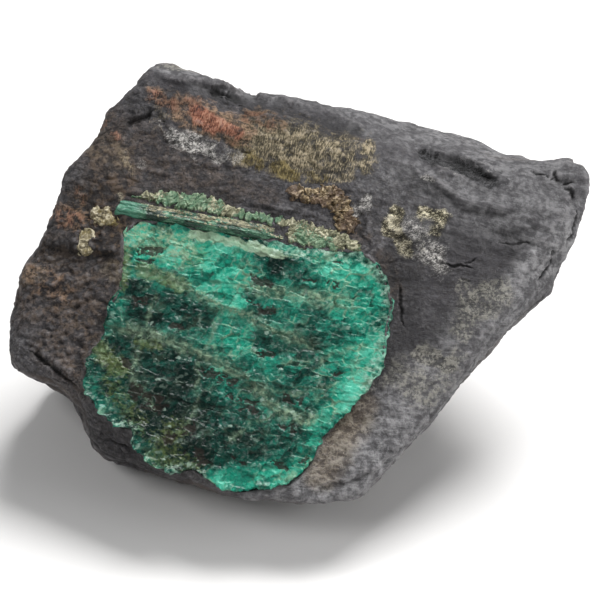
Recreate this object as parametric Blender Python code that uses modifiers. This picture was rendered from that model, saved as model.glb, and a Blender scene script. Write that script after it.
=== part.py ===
"""A broken emerald in dark mica schist: a hand specimen about 110 mm wide.

The stone is three flat-broken blocks fused in one. The large emerald lies in its sloping
front face, with a slender emerald prism and crusts of mica along its upper edge.
Lengths are in mm in the tables and metres in the scene, +Z up, the front toward -Y.
The stone rests on its flat base at z = 0, with the origin under its middle.
"""
import math

import bmesh
import bpy
from mathutils import Matrix, Vector, noise

MM = 0.001
GAP = 0.3
ROCK_CELL = 2.8
EDGE_ROUNDING = 2
CRUST_CELL = 1.05

# The front face, its origin, and the face to its left: azimuth, tilt, then the origin
FRONT_FACE = (0, 52, (5, -12, 37.7))
LEFT_FACE = (-18, 53, (-33.2, 0.2, 46.3))

# Each break: azimuth and tilt of its outward direction in degrees (azimuth 0 is -Y and
# 90 is +X), then its distance in mm from this centre
CENTRE = (0, 0, 30)
FRONT = (0, 52, 13.5)
LEFT = (-18, 53, 19.1)
TOP = (126, 68, 32.0)
BACK = (180, -10, 24.8)
BACK_CORNER = (-132, 5, 39.2)
BACK_LEFT = (-119, 5, 41.2)
UNDER_BACK = (118, -27, 38.5)
BASE = (0, -90, 33)

MAIN_BLOCK = {
    "base": BASE,
    "front": FRONT,
    "left": LEFT,
    "top": TOP,
    "back": BACK,
    "back_corner": BACK_CORNER,
    "back_left": BACK_LEFT,
    "back_right": (158, -5, 33.8),
    "right_strip": (44, 10, 39.6),
    "left_side": (-85, -2, 38.1),
    "lower_left": (-38, 4, 42.3),
    "lip": (-5, 0, 42.9),
    "under_front": (0, -60, 36.0),
    "under_front_left": (-27, -46, 39.9),
    "under_front_right": (28, -47, 43.2),
    "under_right": (60, -30, 38.4),
    "under_back": UNDER_BACK,
}
RIGHT_TIP = {
    "front": FRONT,
    "back": BACK,
    "top": (154, 73, 30.8),
    "right_strip": (38, 13, 38.0),
    "back_right": (155, -5, 40.5),
    "nose": (98, 5, 63.4),
    "under_tip": (62, -36, 36.6),
    "under_back": (118, -27, 41.2),
    "inner": (-90, 0, 3),
    "floor": (0, -90, 3),
}
LEFT_WEDGE = {
    "base": BASE,
    "front": FRONT,
    "left": LEFT,
    "top": TOP,
    "back": BACK,
    "back_corner": BACK_CORNER,
    "back_left": BACK_LEFT,
    "left_end": (-88, 4, 50.6),
    "under_wedge": (-45, -37, 38.2),
    "under_left": (-92, -55, 46.8),
    "inner": (90, 0, -15),
}

# Hollows, notches and ledge shadows: two ends on the stone, a radius and a depth
HOLLOWS = {
    "ridge_hollow": ((-11, 21, 62), (-5, 19, 61), 4.5, 2.0),
    "ridge_sag": ((16, 18, 55), (34, 12, 52), 9, 1.4),
    "torn_ledge": ((28, 14, 52), (44, 10, 50), 4, 1.2),
    "tip_notch": ((52, 6, 52), (56, 3, 49), 4, 1.6),
    "tip_saddle": ((46, 20, 49), (57, 13, 49), 8, 1.8),
    "right_notch": ((52, -9, 45), (56, -6, 41), 5, 2.2),
    "left_shadow": ((-45, -1, 41), (-33, -4, 40), 4, 1.3),
    "lower_left_hollow": ((-33, -31, 20), (-28, -34, 16), 5, 1.6),
    "heel_hollow": ((-10, 26, 22), (12, 28, 26), 12, 2.4),
}

# Foliation lies parallel to the front face; its edges show as low ridges on the sides
RELIEF = 0.8
LAYER_RELIEF = 0.9
LAYER_PITCH = 5.0

# Outlines in mm on the front face: x to the right, y up the slope
EMERALD_OUTLINE = [
    (-31, 15), (-26.5, 14.7), (-10.5, 11.8), (5.5, 9.2), (11.5, 9), (14, 7), (16, 3), (17, -1),
    (16, -5.5), (15, -13), (12, -17.5), (6.5, -23), (3.5, -26.5), (2, -30.5), (-0.5, -33.5),
    (-5, -35.5), (-11.5, -36.5), (-15, -35.5), (-20, -32), (-24, -33), (-27.5, -31.5),
    (-31.5, -27.5), (-30.5, -24.5), (-34.5, -24), (-38, -20.5), (-40.5, -16.5), (-39.5, -11.5),
    (-36, -6), (-36, -2), (-33, 3), (-33.5, 12.5),
]
SEAM_OUTLINE = [
    (-32, 20.4), (-28.5, 21.3), (-20, 20.8), (-15.5, 19.6), (-12.5, 17.8), (-7, 16.8), (1, 15.2),
    (6, 13.8), (10, 12), (12.3, 10.4), (9.5, 9.8), (3.5, 10.5), (-2.1, 11.4), (-2.1, 14.4),
    (-11.5, 16.2), (-23.5, 18.4), (-31.5, 19.8),
]
KNOT_OUTLINE = [
    (-3, 21.5), (-1.5, 22.7), (2, 22), (5.5, 22.4), (8.2, 21.4), (9.8, 19.5), (9.8, 17),
    (11.2, 15), (10.5, 13.6), (7.5, 13.7), (6.6, 15), (6.4, 17.2), (4, 18.8), (1.5, 19.3),
    (-1.5, 20.2),
]

# Outlines on the left face, whose origin is 7 mm left of the prism's end
CLUMP_OUTLINE = [
    (-2, 1.5), (-1.2, 3.2), (0.7, 3.6), (2, 2.6), (3.2, 2), (3.4, 0.8), (2, 0.4), (0.5, 0.3),
    (-1, 0),
]
LUMP_OUTLINE = [
    (-3.6, -2), (-2.6, -1.3), (-1, -1.4), (-0.4, -2.6), (-1, -3.6), (-0.4, -5), (-1.5, -5.8),
    (-3.1, -5.2), (-3.2, -3.5),
]

# The emerald's broken side: ledges (two ends, then how far the side above them stands up)
EMERALD_DEPTH = 17
EMERALD_LEDGES = [
    ((-36, -4), (2, -26), 1.0),
    ((-30, 7), (10, -12), 0.8),
    ((-12, -13), (0, -23), 0.6),
    ((-34, 12), (-8, 3), 0.4),
]
EMERALD_LOW = -0.8
FACET_PITCH = 2.5
FACET_RELIEF = 0.5
CRACK_ANGLES = (-12, 58)

PRISM_START = (-35.2, 18.4)
PRISM_END = (-2.8, 12.6)
PRISM_RADIUS = 1.6
PRISM_SINK = 0.5

COLOURS = {
    "schist": (0.075, 0.066, 0.074, 1),
    "emerald": (0.03, 0.26, 0.19, 1),
    "prism_emerald": (0.06, 0.22, 0.13, 1),
    "olive_mica": (0.26, 0.24, 0.13, 1),
    "rusty_mica": (0.32, 0.21, 0.11, 1),
    "pale_mica": (0.45, 0.38, 0.24, 1),
}
ROUGHNESS = {"emerald": 0.25, "prism_emerald": 0.3}


def remove_all():
    for obj in list(bpy.data.objects):
        bpy.data.objects.remove(obj, do_unlink=True)


def new_collection(name):
    collection = bpy.data.collections.new(name)
    bpy.context.scene.collection.children.link(collection)
    return collection


def material(name):
    mat = bpy.data.materials.new(name)
    mat.use_nodes = True
    shader = mat.node_tree.nodes["Principled BSDF"]
    shader.inputs["Base Color"].default_value = COLOURS[name]
    shader.inputs["Roughness"].default_value = ROUGHNESS.get(name, 0.8)
    mat.diffuse_color = COLOURS[name]
    return mat


def add_object(name, mesh, collection, mat=None):
    mesh.name = name
    obj = bpy.data.objects.new(name, mesh)
    collection.objects.link(obj)
    if mat:
        mesh.materials.clear()
        mesh.materials.append(mat)
    return obj


def evaluated_mesh(obj):
    depsgraph = bpy.context.evaluated_depsgraph_get()
    return bpy.data.meshes.new_from_object(obj.evaluated_get(depsgraph))


def mesh_from(bm):
    bmesh.ops.recalc_face_normals(bm, faces=bm.faces[:])
    mesh = bpy.data.meshes.new("shape")
    bm.to_mesh(mesh)
    bm.free()
    return mesh


def outward(azimuth, tilt):
    a = math.radians(azimuth)
    t = math.radians(tilt)
    return Vector((math.sin(a) * math.cos(t), -math.cos(a) * math.cos(t), math.sin(t)))


def face_frame(azimuth, tilt, origin):
    """Frame on a break: X along it to the right, Y up its slope, Z out of the stone."""
    out = outward(azimuth, tilt)
    along = Vector((math.cos(math.radians(azimuth)), math.sin(math.radians(azimuth)), 0))
    frame = Matrix((along, out.cross(along), out)).transposed().to_4x4()
    frame.translation = Vector(origin) * MM
    return frame


def cut_away(bm, point, direction):
    """Removes what lies beyond the plane and closes the cut with one flat face."""
    geometry = bm.verts[:] + bm.edges[:] + bm.faces[:]
    cut = bmesh.ops.bisect_plane(bm, geom=geometry, plane_co=point, plane_no=direction,
                                 dist=1e-7, clear_outer=True)
    edges = [item for item in cut["geom_cut"] if isinstance(item, bmesh.types.BMEdge)]
    if edges:
        bmesh.ops.contextual_create(bm, geom=edges)


def broken_block(breaks):
    bm = bmesh.new()
    bmesh.ops.create_cube(bm, size=0.3)
    for azimuth, tilt, distance in breaks.values():
        direction = outward(azimuth, tilt)
        point = (Vector(CENTRE) + direction * distance) * MM
        cut_away(bm, point, direction)
    return mesh_from(bm)


def remeshed(mesh, cell, collection):
    """One closed skin of even cells around a mesh, or around several joined in one."""
    obj = add_object("remesh", mesh, collection)
    modifier = obj.modifiers.new("Fuse", "REMESH")
    modifier.mode = "VOXEL"
    modifier.voxel_size = cell * MM
    result = evaluated_mesh(obj)
    bpy.data.objects.remove(obj, do_unlink=True)
    return result


def smooth_step(value):
    value = min(1.0, max(0.0, value))
    return value * value * (3 - 2 * value)


def hollow_depth(point):
    """How far the hollows sink the skin at a point, in mm."""
    depth = 0.0
    for start, end, radius, deepest in HOLLOWS.values():
        start = Vector(start)
        along = Vector(end) - start
        share = min(1.0, max(0.0, (point - start).dot(along) / along.length_squared))
        away = (point - start - along * share).length
        depth += deepest * smooth_step(1 - away / radius)
    return depth


def rock_relief(point, normal):
    """Height of the broken skin over its flat faces, in mm: lumps and layer edges."""
    foliation = outward(*FRONT_FACE[:2])
    lumps = noise.fractal(point / 11, 0.9, 2.1, 4)
    layer = point.dot(foliation) + 2.0 * noise.noise(point / 20)
    edges = noise.noise(Vector((layer / LAYER_PITCH, point.x / 60, point.y / 60)))
    side = 1 - abs(normal.dot(foliation))
    return RELIEF * lumps + LAYER_RELIEF * side * edges - hollow_depth(point)


def build_rock(scratch):
    bm = bmesh.new()
    for breaks in (MAIN_BLOCK, RIGHT_TIP, LEFT_WEDGE):
        bm.from_mesh(broken_block(breaks))
    skin = remeshed(mesh_from(bm), ROCK_CELL, scratch)
    bm = bmesh.new()
    bm.from_mesh(skin)
    for _ in range(EDGE_ROUNDING):
        bmesh.ops.smooth_vert(bm, verts=bm.verts[:], factor=0.5, use_axis_x=True,
                              use_axis_y=True, use_axis_z=True)
    bm.normal_update()
    moves = {v: v.normal * rock_relief(v.co / MM, v.normal) * MM for v in bm.verts}
    for vert, move in moves.items():
        vert.co += move
    cut_away(bm, Vector((0, 0, 0)), Vector((0, 0, -1)))
    return mesh_from(bm)


def outline_slab(outline, low, high, frame, scratch):
    """A flat outline of a break's frame, from low to high along its outward direction."""
    curve = bpy.data.curves.new("outline", "CURVE")
    curve.dimensions = "2D"
    curve.fill_mode = "BOTH"
    curve.extrude = (high - low) / 2 * MM
    spline = curve.splines.new("POLY")
    spline.points.add(len(outline) - 1)
    for point, (x, y) in zip(spline.points, outline):
        point.co = (x * MM, y * MM, 0, 1)
    spline.use_cyclic_u = True
    obj = bpy.data.objects.new("outline", curve)
    scratch.objects.link(obj)
    mesh = evaluated_mesh(obj)
    bpy.data.objects.remove(obj, do_unlink=True)
    mesh.transform(frame @ Matrix.Translation((0, 0, (high + low) / 2 * MM)))
    bm = bmesh.new()
    bm.from_mesh(mesh)
    bmesh.ops.remove_doubles(bm, verts=bm.verts[:], dist=1e-6)
    return mesh_from(bm)


def grown(mesh, distance):
    """The mesh with every face moved outward by a distance in mm."""
    bm = bmesh.new()
    bm.from_mesh(mesh)
    bmesh.ops.dissolve_limit(bm, angle_limit=0.01, verts=bm.verts[:], edges=bm.edges[:])
    bm.normal_update()
    moves = {v: v.normal * v.calc_shell_factor() * distance * MM for v in bm.verts}
    for vert, move in moves.items():
        vert.co += move
    return mesh_from(bm)


def cut_pocket(rock, name, mesh, cutters):
    cutter = add_object(name, mesh, cutters)
    cutter.hide_render = True
    cutter.display_type = "WIRE"
    modifier = rock.modifiers.new(name, "BOOLEAN")
    modifier.operation = "DIFFERENCE"
    modifier.solver = "EXACT"
    modifier.object = cutter


def emerald_floor(bm, frame):
    """Slopes the buried side: deep at the upper right, thin at the lower left."""
    rise = Vector((-0.12, -0.24, -1)).normalized()
    cut_away(bm, frame @ Vector((0, 0, -13.5 * MM)), frame.to_3x3() @ rise)


def ledge_height(x, y):
    height = EMERALD_LOW
    for (x1, y1), (x2, y2), rise in EMERALD_LEDGES:
        share = min(1.0, max(0.0, (x - x1) / (x2 - x1)))
        above = y - (y1 + (y2 - y1) * share)
        height += rise * smooth_step(above / 1.2 + 0.5)
    return height


def facet_height(x, y):
    """Broken facets of the emerald's side, in mm over the stone's face."""
    cell = noise.cell(Vector((x / 4.2, (y + 0.25 * x) / 2.9, 1.0)))
    return ledge_height(x, y) + FACET_RELIEF * (cell + noise.noise(Vector((x / 2, y / 2, 3))))


def build_emerald(scratch):
    frame = face_frame(*FRONT_FACE)
    slab = outline_slab(EMERALD_OUTLINE, -EMERALD_DEPTH, 0, frame, scratch)
    bm = bmesh.new()
    bm.from_mesh(slab)
    emerald_floor(bm, frame)
    bmesh.ops.dissolve_limit(bm, angle_limit=0.01, verts=bm.verts[:], edges=bm.edges[:])
    out = frame.to_3x3() @ Vector((0, 0, 1))
    for angle in CRACK_ANGLES:
        turn = math.radians(angle)
        across = frame.to_3x3() @ Vector((-math.sin(turn), math.cos(turn), 0))
        for step in range(-20, 21):
            bm.normal_update()
            faces = [f for f in bm.faces if f.normal.dot(out) > 0.99]
            edges = {e for f in faces for e in f.edges}
            verts = {v for f in faces for v in f.verts}
            point = frame.translation + across * (step * FACET_PITCH * MM)
            bmesh.ops.bisect_plane(bm, geom=faces + list(edges) + list(verts), plane_co=point,
                                   plane_no=across, dist=1e-5)
    bm.normal_update()
    front = {v for f in bm.faces if f.normal.dot(out) > 0.99 for v in f.verts}
    back_to_face = frame.inverted()
    for vert in front:
        place = back_to_face @ vert.co / MM
        vert.co += out * facet_height(place.x, place.y) * MM
    bmesh.ops.triangulate(bm, faces=bm.faces[:])
    return mesh_from(bm)


def emerald_pocket(scratch):
    frame = face_frame(*FRONT_FACE)
    bm = bmesh.new()
    bm.from_mesh(outline_slab(EMERALD_OUTLINE, -EMERALD_DEPTH, 6, frame, scratch))
    emerald_floor(bm, frame)
    return grown(mesh_from(bm), GAP)


def build_prism():
    """The slender six-sided prism, with a broken, tilted left end."""
    frame = face_frame(*FRONT_FACE)
    ends = [Vector((*end, -PRISM_SINK)) * MM for end in (PRISM_START, PRISM_END)]
    start, end = (frame @ point for point in ends)
    length = (end - start).length
    axis = (end - start).normalized()
    bm = bmesh.new()
    bmesh.ops.create_cone(bm, cap_ends=True, segments=6, radius1=PRISM_RADIUS * MM,
                          radius2=PRISM_RADIUS * MM, depth=length)
    turn = axis.to_track_quat("Z", "Y").to_matrix().to_4x4()
    turn.translation = (start + end) / 2
    bmesh.ops.transform(bm, matrix=turn, verts=bm.verts[:])
    cut_away(bm, start + axis * 0.8 * MM, -axis + Vector((0, 0.35, 0.2)))
    for share in (0.1, 0.22, 0.36, 0.47, 0.6, 0.72, 0.86, 0.95):
        lean = Vector((0.25 * math.sin(share * 40), 0, 0.2 * math.cos(share * 25)))
        geometry = bm.verts[:] + bm.edges[:] + bm.faces[:]
        bmesh.ops.bisect_plane(bm, geom=geometry, plane_co=start + axis * length * share,
                               plane_no=axis + lean, dist=1e-6)
    for vert in bm.verts:
        inward = (start - vert.co) - axis * (start - vert.co).dot(axis)
        vert.co += inward * (0.1 + 0.12 * noise.noise(vert.co / MM * 0.9))
    bmesh.ops.triangulate(bm, faces=bm.faces[:])
    return mesh_from(bm)


def prism_pocket(scratch):
    """A straight-sided trench, open over the prism."""
    start = Vector(PRISM_START)
    end = Vector(PRISM_END)
    side = (end - start).orthogonal().normalized() * PRISM_RADIUS
    outline = [start - side, end - side, end + side, start + side]
    floor = -PRISM_SINK - PRISM_RADIUS
    return grown(outline_slab(outline, floor, 6, face_frame(*FRONT_FACE), scratch), GAP)


def build_crust(outline, face, low, high, lumps, scratch):
    """A low crust of mica flakes: an even skin over the outline, lumpy on its open side."""
    frame = face_frame(*face)
    slab = outline_slab(outline, low, high, frame, scratch)
    bm = bmesh.new()
    bm.from_mesh(remeshed(slab, CRUST_CELL, scratch))
    bmesh.ops.smooth_vert(bm, verts=bm.verts[:], factor=0.4, use_axis_x=True,
                          use_axis_y=True, use_axis_z=True)
    out = frame.to_3x3() @ Vector((0, 0, 1))
    back_to_face = frame.inverted()
    for vert in bm.verts:
        place = back_to_face @ vert.co / MM
        open_share = smooth_step((place.z - low) / (high - low))
        vert.co += out * open_share * lumps * noise.noise(place * 0.8) * MM
    bmesh.ops.triangulate(bm, faces=bm.faces[:])
    return mesh_from(bm)


def crust_pocket(outline, face, low, scratch):
    return grown(outline_slab(outline, low, 6, face_frame(*face), scratch), GAP)


def main():
    remove_all()
    specimen = new_collection("emerald_crystal_cluster")
    cutters = new_collection("cutters")
    schist = material("schist")
    rock = add_object("matrix_rock", build_rock(cutters), specimen, schist)
    add_object("emerald_crystal", build_emerald(cutters), specimen, material("emerald"))
    add_object("emerald_prism", build_prism(), specimen, material("prism_emerald"))
    cut_pocket(rock, "emerald_pocket", emerald_pocket(cutters), cutters)
    cut_pocket(rock, "prism_pocket", prism_pocket(cutters), cutters)
    crusts = {
        "mica_seam": (SEAM_OUTLINE, FRONT_FACE, -1.6, 0.9, "olive_mica"),
        "mica_knot": (KNOT_OUTLINE, FRONT_FACE, -1.4, 1.3, "rusty_mica"),
        "mica_clump": (CLUMP_OUTLINE, LEFT_FACE, -1.4, 1.0, "pale_mica"),
        "mica_lump": (LUMP_OUTLINE, LEFT_FACE, -1.4, 0.9, "pale_mica"),
    }
    for name, (outline, face, low, high, colour) in crusts.items():
        mat = bpy.data.materials.get(colour) or material(colour)
        crust = build_crust(outline, face, low, high, 0.6, cutters)
        add_object(name, crust, specimen, mat)
        cut_pocket(rock, name + "_pocket", crust_pocket(outline, face, low, cutters), cutters)


main()
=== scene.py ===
"""The looks of a broken emerald in dark mica schist, on a pale studio floor.

Sizes are in mm in the tables and metres in the scene. Marks on the stone and the emerald are
placed as the camera sees them: mm to the right and up from the middle of its view.
"""
import math

import bmesh
import bpy
import numpy as np
from mathutils import Matrix, Vector, noise


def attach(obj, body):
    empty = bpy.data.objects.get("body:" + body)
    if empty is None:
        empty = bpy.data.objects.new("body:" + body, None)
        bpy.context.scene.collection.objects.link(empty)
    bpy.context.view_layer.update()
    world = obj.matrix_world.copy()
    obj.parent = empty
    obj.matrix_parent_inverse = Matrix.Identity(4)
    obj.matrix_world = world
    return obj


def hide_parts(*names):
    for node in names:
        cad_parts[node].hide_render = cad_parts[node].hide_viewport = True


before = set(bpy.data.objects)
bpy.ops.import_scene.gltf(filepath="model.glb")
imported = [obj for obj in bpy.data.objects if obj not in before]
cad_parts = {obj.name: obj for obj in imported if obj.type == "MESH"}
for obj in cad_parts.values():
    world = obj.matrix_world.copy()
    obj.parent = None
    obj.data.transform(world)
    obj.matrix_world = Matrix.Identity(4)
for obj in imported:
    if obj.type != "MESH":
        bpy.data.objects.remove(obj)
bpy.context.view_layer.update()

# Left alone, noise.noise_vector starts from the clock, and no two runs give the same shapes
noise.seed_set(5)

MM = 0.001

# The sloping front face, and the camera that looks at its middle
FRONT_TILT = 52
FRONT_MIDDLE = (5, -12, 37.7)
CAMERA_TILT = 38
CAMERA_DISTANCE = 600
CAMERA_LENS = 190.1
SENSOR = 36
CAMERA_CLIP = (0.01, 20)

# The studio, in metres. Each light has its place, its two lengths and its power in watts
FLOOR_HALF = 4
FLOOR_COLOUR = (0.8, 0.79, 0.78, 1)
FLOOR_ROUGHNESS = 0.6
SKY_COLOUR = (0.96, 0.98, 1, 1)
SKY_STRENGTH = 0.2
LIT_PLACE = (0.005, 0, 0.03)
LIGHTS = {
    "top_light": ((0.28, 0.42, 0.95), (0.6, 0.5), 15.0),
    "right_light": ((0.9, -0.3, 0.4), (0.6, 0.5), 5.0),
    "left_light": ((-0.6, -0.5, 0.9), (0.5, 0.4), 4.0),
}

# Edge of each skin's even cells
STONE_CELL = 0.81
EMERALD_CELL = 0.8
CRUST_CELL = 0.26
# How far the stone lies below its face under the emerald, and under a smaller inlay
EMERALD_SINK = 2.6
INLAY_SINK = 0.2
# How far beside a crack the stone's skin is finer, and how high its relief fades out at the base
NEAR_CRACK = 0.7
BASE_FADE = 2.0
# How far the prism and the crusts grow past their solids, and how deep the prism's end dives
PRISM_GROWTH = 0.25
CRUST_GROWTH = 0.8
PRISM_DIVE = 1.3
# The prism's way along the face
PRISM_WAY = (0.984, -0.178)

# The left face beside the front one, which carries two small mica inlays
LEFT_TURN = -18
LEFT_TILT = 53
LEFT_MIDDLE = (-33.2, 0.2, 46.3)

# On the front face: mm to the right and up the slope from its middle
EMERALD_OUTLINE = [
    (-31, 15), (-26.5, 14.7), (-10.5, 11.8), (5.5, 9.2), (11.5, 9), (14, 7), (16, 3), (17, -1),
    (16, -5.5), (15, -13), (12, -17.5), (6.5, -23), (3.5, -26.5), (2, -30.5), (-0.5, -33.5),
    (-5, -35.5), (-11.5, -36.5), (-15, -35.5), (-20, -32), (-24, -33), (-27.5, -31.5),
    (-31.5, -27.5), (-30.5, -24.5), (-34.5, -24), (-38, -20.5), (-40.5, -16.5), (-39.5, -11.5),
    (-36, -6), (-36, -2), (-33, 3), (-33.5, 12.5),
]

SEAM_OUTLINE = [
    (-32, 20.4), (-28.5, 21.3), (-20, 20.8), (-15.5, 19.6), (-12.5, 17.8), (-7, 16.8), (1, 15.2), (6, 13.8),
    (10, 12), (12.3, 10.4), (9.5, 9.8), (3.5, 10.5), (-2.1, 11.4), (-2.1, 14.4), (-11.5, 16.2),
    (-23.5, 18.4), (-31.5, 19.8),
]
PRISM_OUTLINE = [(-35.5, 16.8), (-34.9, 20), (-2.5, 14.2), (-3.1, 11)]
KNOT_OUTLINE = [
    (-3, 21.5), (-1.5, 22.7), (2, 22), (5.5, 22.4), (8.2, 21.4), (9.8, 19.5), (9.8, 17), (11.2, 15),
    (10.5, 13.6), (7.5, 13.7), (6.6, 15), (6.4, 17.2), (4, 18.8), (1.5, 19.3), (-1.5, 20.2),
]
# On the left face
CLUMP_OUTLINE = [(-2, 1.5), (-1.2, 3.2), (0.7, 3.6), (2, 2.6), (3.2, 2), (3.4, 0.8), (2, 0.4), (0.5, 0.3),
                 (-1, 0)]
LUMP_OUTLINE = [(-3.6, -2), (-2.6, -1.3), (-1, -1.4), (-0.4, -2.6), (-1, -3.6), (-0.4, -5), (-1.5, -5.8),
                (-3.1, -5.2), (-3.2, -3.5)]

# Corners and ridges of the stone, drawn out to their sharp ends: a place, mm to the right and
# up, and how far around it that reaches
PULLS = [
    ((-22, 43), (0, 0.9), 5), ((12.3, 34.5), (0, 2.7), 5), ((-10, 39.6), (0, -0.7), 4),
    ((37, 29), (0, -1.0), 6), ((52, 24.5), (1.4, 3.2), 5.5), ((56, 19), (1.2, 0), 5),
    ((46.5, 0), (1.8, -0.6), 3.2), ((-36.5, 35), (-1.6, 0.4), 5), ((-43.6, 24.6), (-2.0, 0.5), 6),
    ((-50.6, 8.5), (-1.0, 0), 6), ((-52, -13), (-2.0, -0.8), 4),
]

# Cracks in the stone: a line, its half width and its depth
CRACKS = {
    "beside_emerald": ([(19.3, 4.2), (19.0, 1.6), (19.1, -0.9), (19.5, -3.4), (19.9, -6)], 0.22, 0.6),
    "middle_right": ([(25.4, 7.4), (27.6, 6.7), (29.4, 6.6), (31.6, 6.4), (33.9, 5.7)], 0.26, 0.7),
    "middle_branch": ([(30.5, 6.9), (32.2, 7.4), (34, 8.2)], 0.18, 0.4),
    "upper_right": ([(36.4, 11.3), (38.4, 10.9), (40.2, 10.8), (44.6, 11.1)], 0.24, 0.4),
    "tip": ([(42.6, 24.7), (44.6, 24.2), (48.3, 22.7), (50.4, 22.2), (52.5, 22.4)], 0.22, 0.7),
    "tip_nick": ([(48.1, 24.8), (48.5, 23.4), (48.8, 22.4)], 0.34, 0.9),
    "tip_fork": ([(50.3, 21.9), (51.3, 20.3), (51.9, 18.8)], 0.3, 0.9),
    "tip_edge": ([(51.9, 18.8), (52.2, 15.5), (51.6, 12.6), (50, 9.5)], 0.2, 0.5),
    "strip_upper": ([(48.1, 8.7), (47.2, 6.4), (46.0, 4.8), (44.8, 3.2)], 0.24, 0.7),
    "strip_pit": ([(48.3, 9.4), (47.8, 8.2)], 0.5, 0.7),
    "left_notch": ([(-33.4, 33), (-31.6, 33.7), (-29.4, 34.7), (-27, 36.2)], 0.42, 0.8),
    "ridge_hollow": ([(-18, 39.6), (-15, 39.1), (-12.6, 38.5), (-10, 37.5)], 0.8, 1.0),
    "arc": ([(30.4, 4.6), (31.2, 3.6), (32.6, 3.3)], 0.2, 0.3),
    "wedge_seam": ([(-52.6, -8.6), (-48.6, -11.4), (-44.8, -14.8), (-41.4, -17.6)], 0.4, 0.9),
    "foot_seam": ([(-37.5, -26), (-31, -28.6), (-24, -30.4)], 0.3, 0.6),
}

# Ledges of the stone, each a line walked with the high side to its left: the rise, the width
# of the step and how far it fades out
LEDGES = {
    "ridge_lip": ([(-29, 42.8), (-23.7, 41.5), (-18, 40.3), (-12.3, 39.8), (-7.2, 37.9), (-3, 36.8),
                   (4, 35)], 0.8, 0.5, 1.8),
    "ridge_foot": ([(-6, 36.4), (0, 35), (6, 33), (10, 31.4)], 0.5, 0.8, 2.4),
    "torn_edge": ([(21.6, 29), (23.6, 28), (25.4, 27.6), (27.8, 27.0), (31.6, 25.9), (35.4, 23.8),
                   (38, 22.8)], 1.5, 0.7, 2.6),
    "flow_band": ([(14.6, 26.8), (19.9, 25.3), (24.6, 23), (28, 20.2), (30.5, 17.8), (35, 17), (42, 16.6)],
                  0.8, 1.3, 3.4),
    "flow_low": ([(36, 13.6), (41, 13), (45.6, 14.4)], 0.4, 0.9, 2.5),
    "foot": ([(25.5, -20), (23.7, -23.7), (19.5, -27.8), (14.2, -32.2), (7.8, -34.6),
              (0.6, -35.4)], -0.7, 0.8, 2.0),
    "left_overhang": ([(-50, 11), (-45.5, 10.4), (-40.7, 9.6), (-34, 9)], 1.2, 2.2, 2.6),
    "left_shoulder": ([(-51, 3.6), (-47, 2.4), (-42.6, 3.8)], 0.5, 0.9, 2.4),
    "wedge_lip": ([(-53, -7), (-50.2, -9), (-45.5, -12.8), (-42.2, -15.6)], 0.7, 0.9, 2.4),
    "lower_rim": ([(-36.5, -24), (-31, -27), (-26, -31.5), (-20, -34)], 0.5, 0.8, 2.0),
    "buff_edge": ([(26, 1.6), (28.4, -4.8), (25.6, -8.4), (19.4, -10.6)], 0.25, 1.2, 3.0),
}

# Crests where two of the stone's breaks meet: a line, its height and its reach
CRESTS = {
    "ridge": ([(-27.4, 43), (-23.7, 41.6), (-16.5, 40.9), (-10.2, 39.3), (-5.1, 37.5), (4.2, 35.5),
               (9.5, 33.1), (18.9, 30.2), (24.6, 28)], 1.0, 1.3),
    "right_edge": ([(51.9, 23.5), (50.2, 18), (46.4, 11.4), (42.6, 5.7), (39.6, 0.9), (33, -8.5),
                    (25, -21.4)], 0.9, 1.4),
    "left_edge": ([(-27.4, 43), (-30.5, 37), (-32.5, 30), (-33.5, 22)], 0.35, 1.6),
    "wedge_edge": ([(-54.5, -8), (-50.2, -9.8), (-45.5, -14), (-41.6, -17.4)], 0.5, 1.2),
    "bulge": ([(26, 14.6), (34, 14.2), (44, 14.8)], 0.35, 2.0),
    "fold": ([(24, 23), (30, 19.6), (36, 17.8), (43, 17.6), (48, 19.4)], 0.4, 1.0),
    "fold_above": ([(36, 24), (42, 22), (49, 22.6)], 0.3, 1.2),
}

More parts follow.
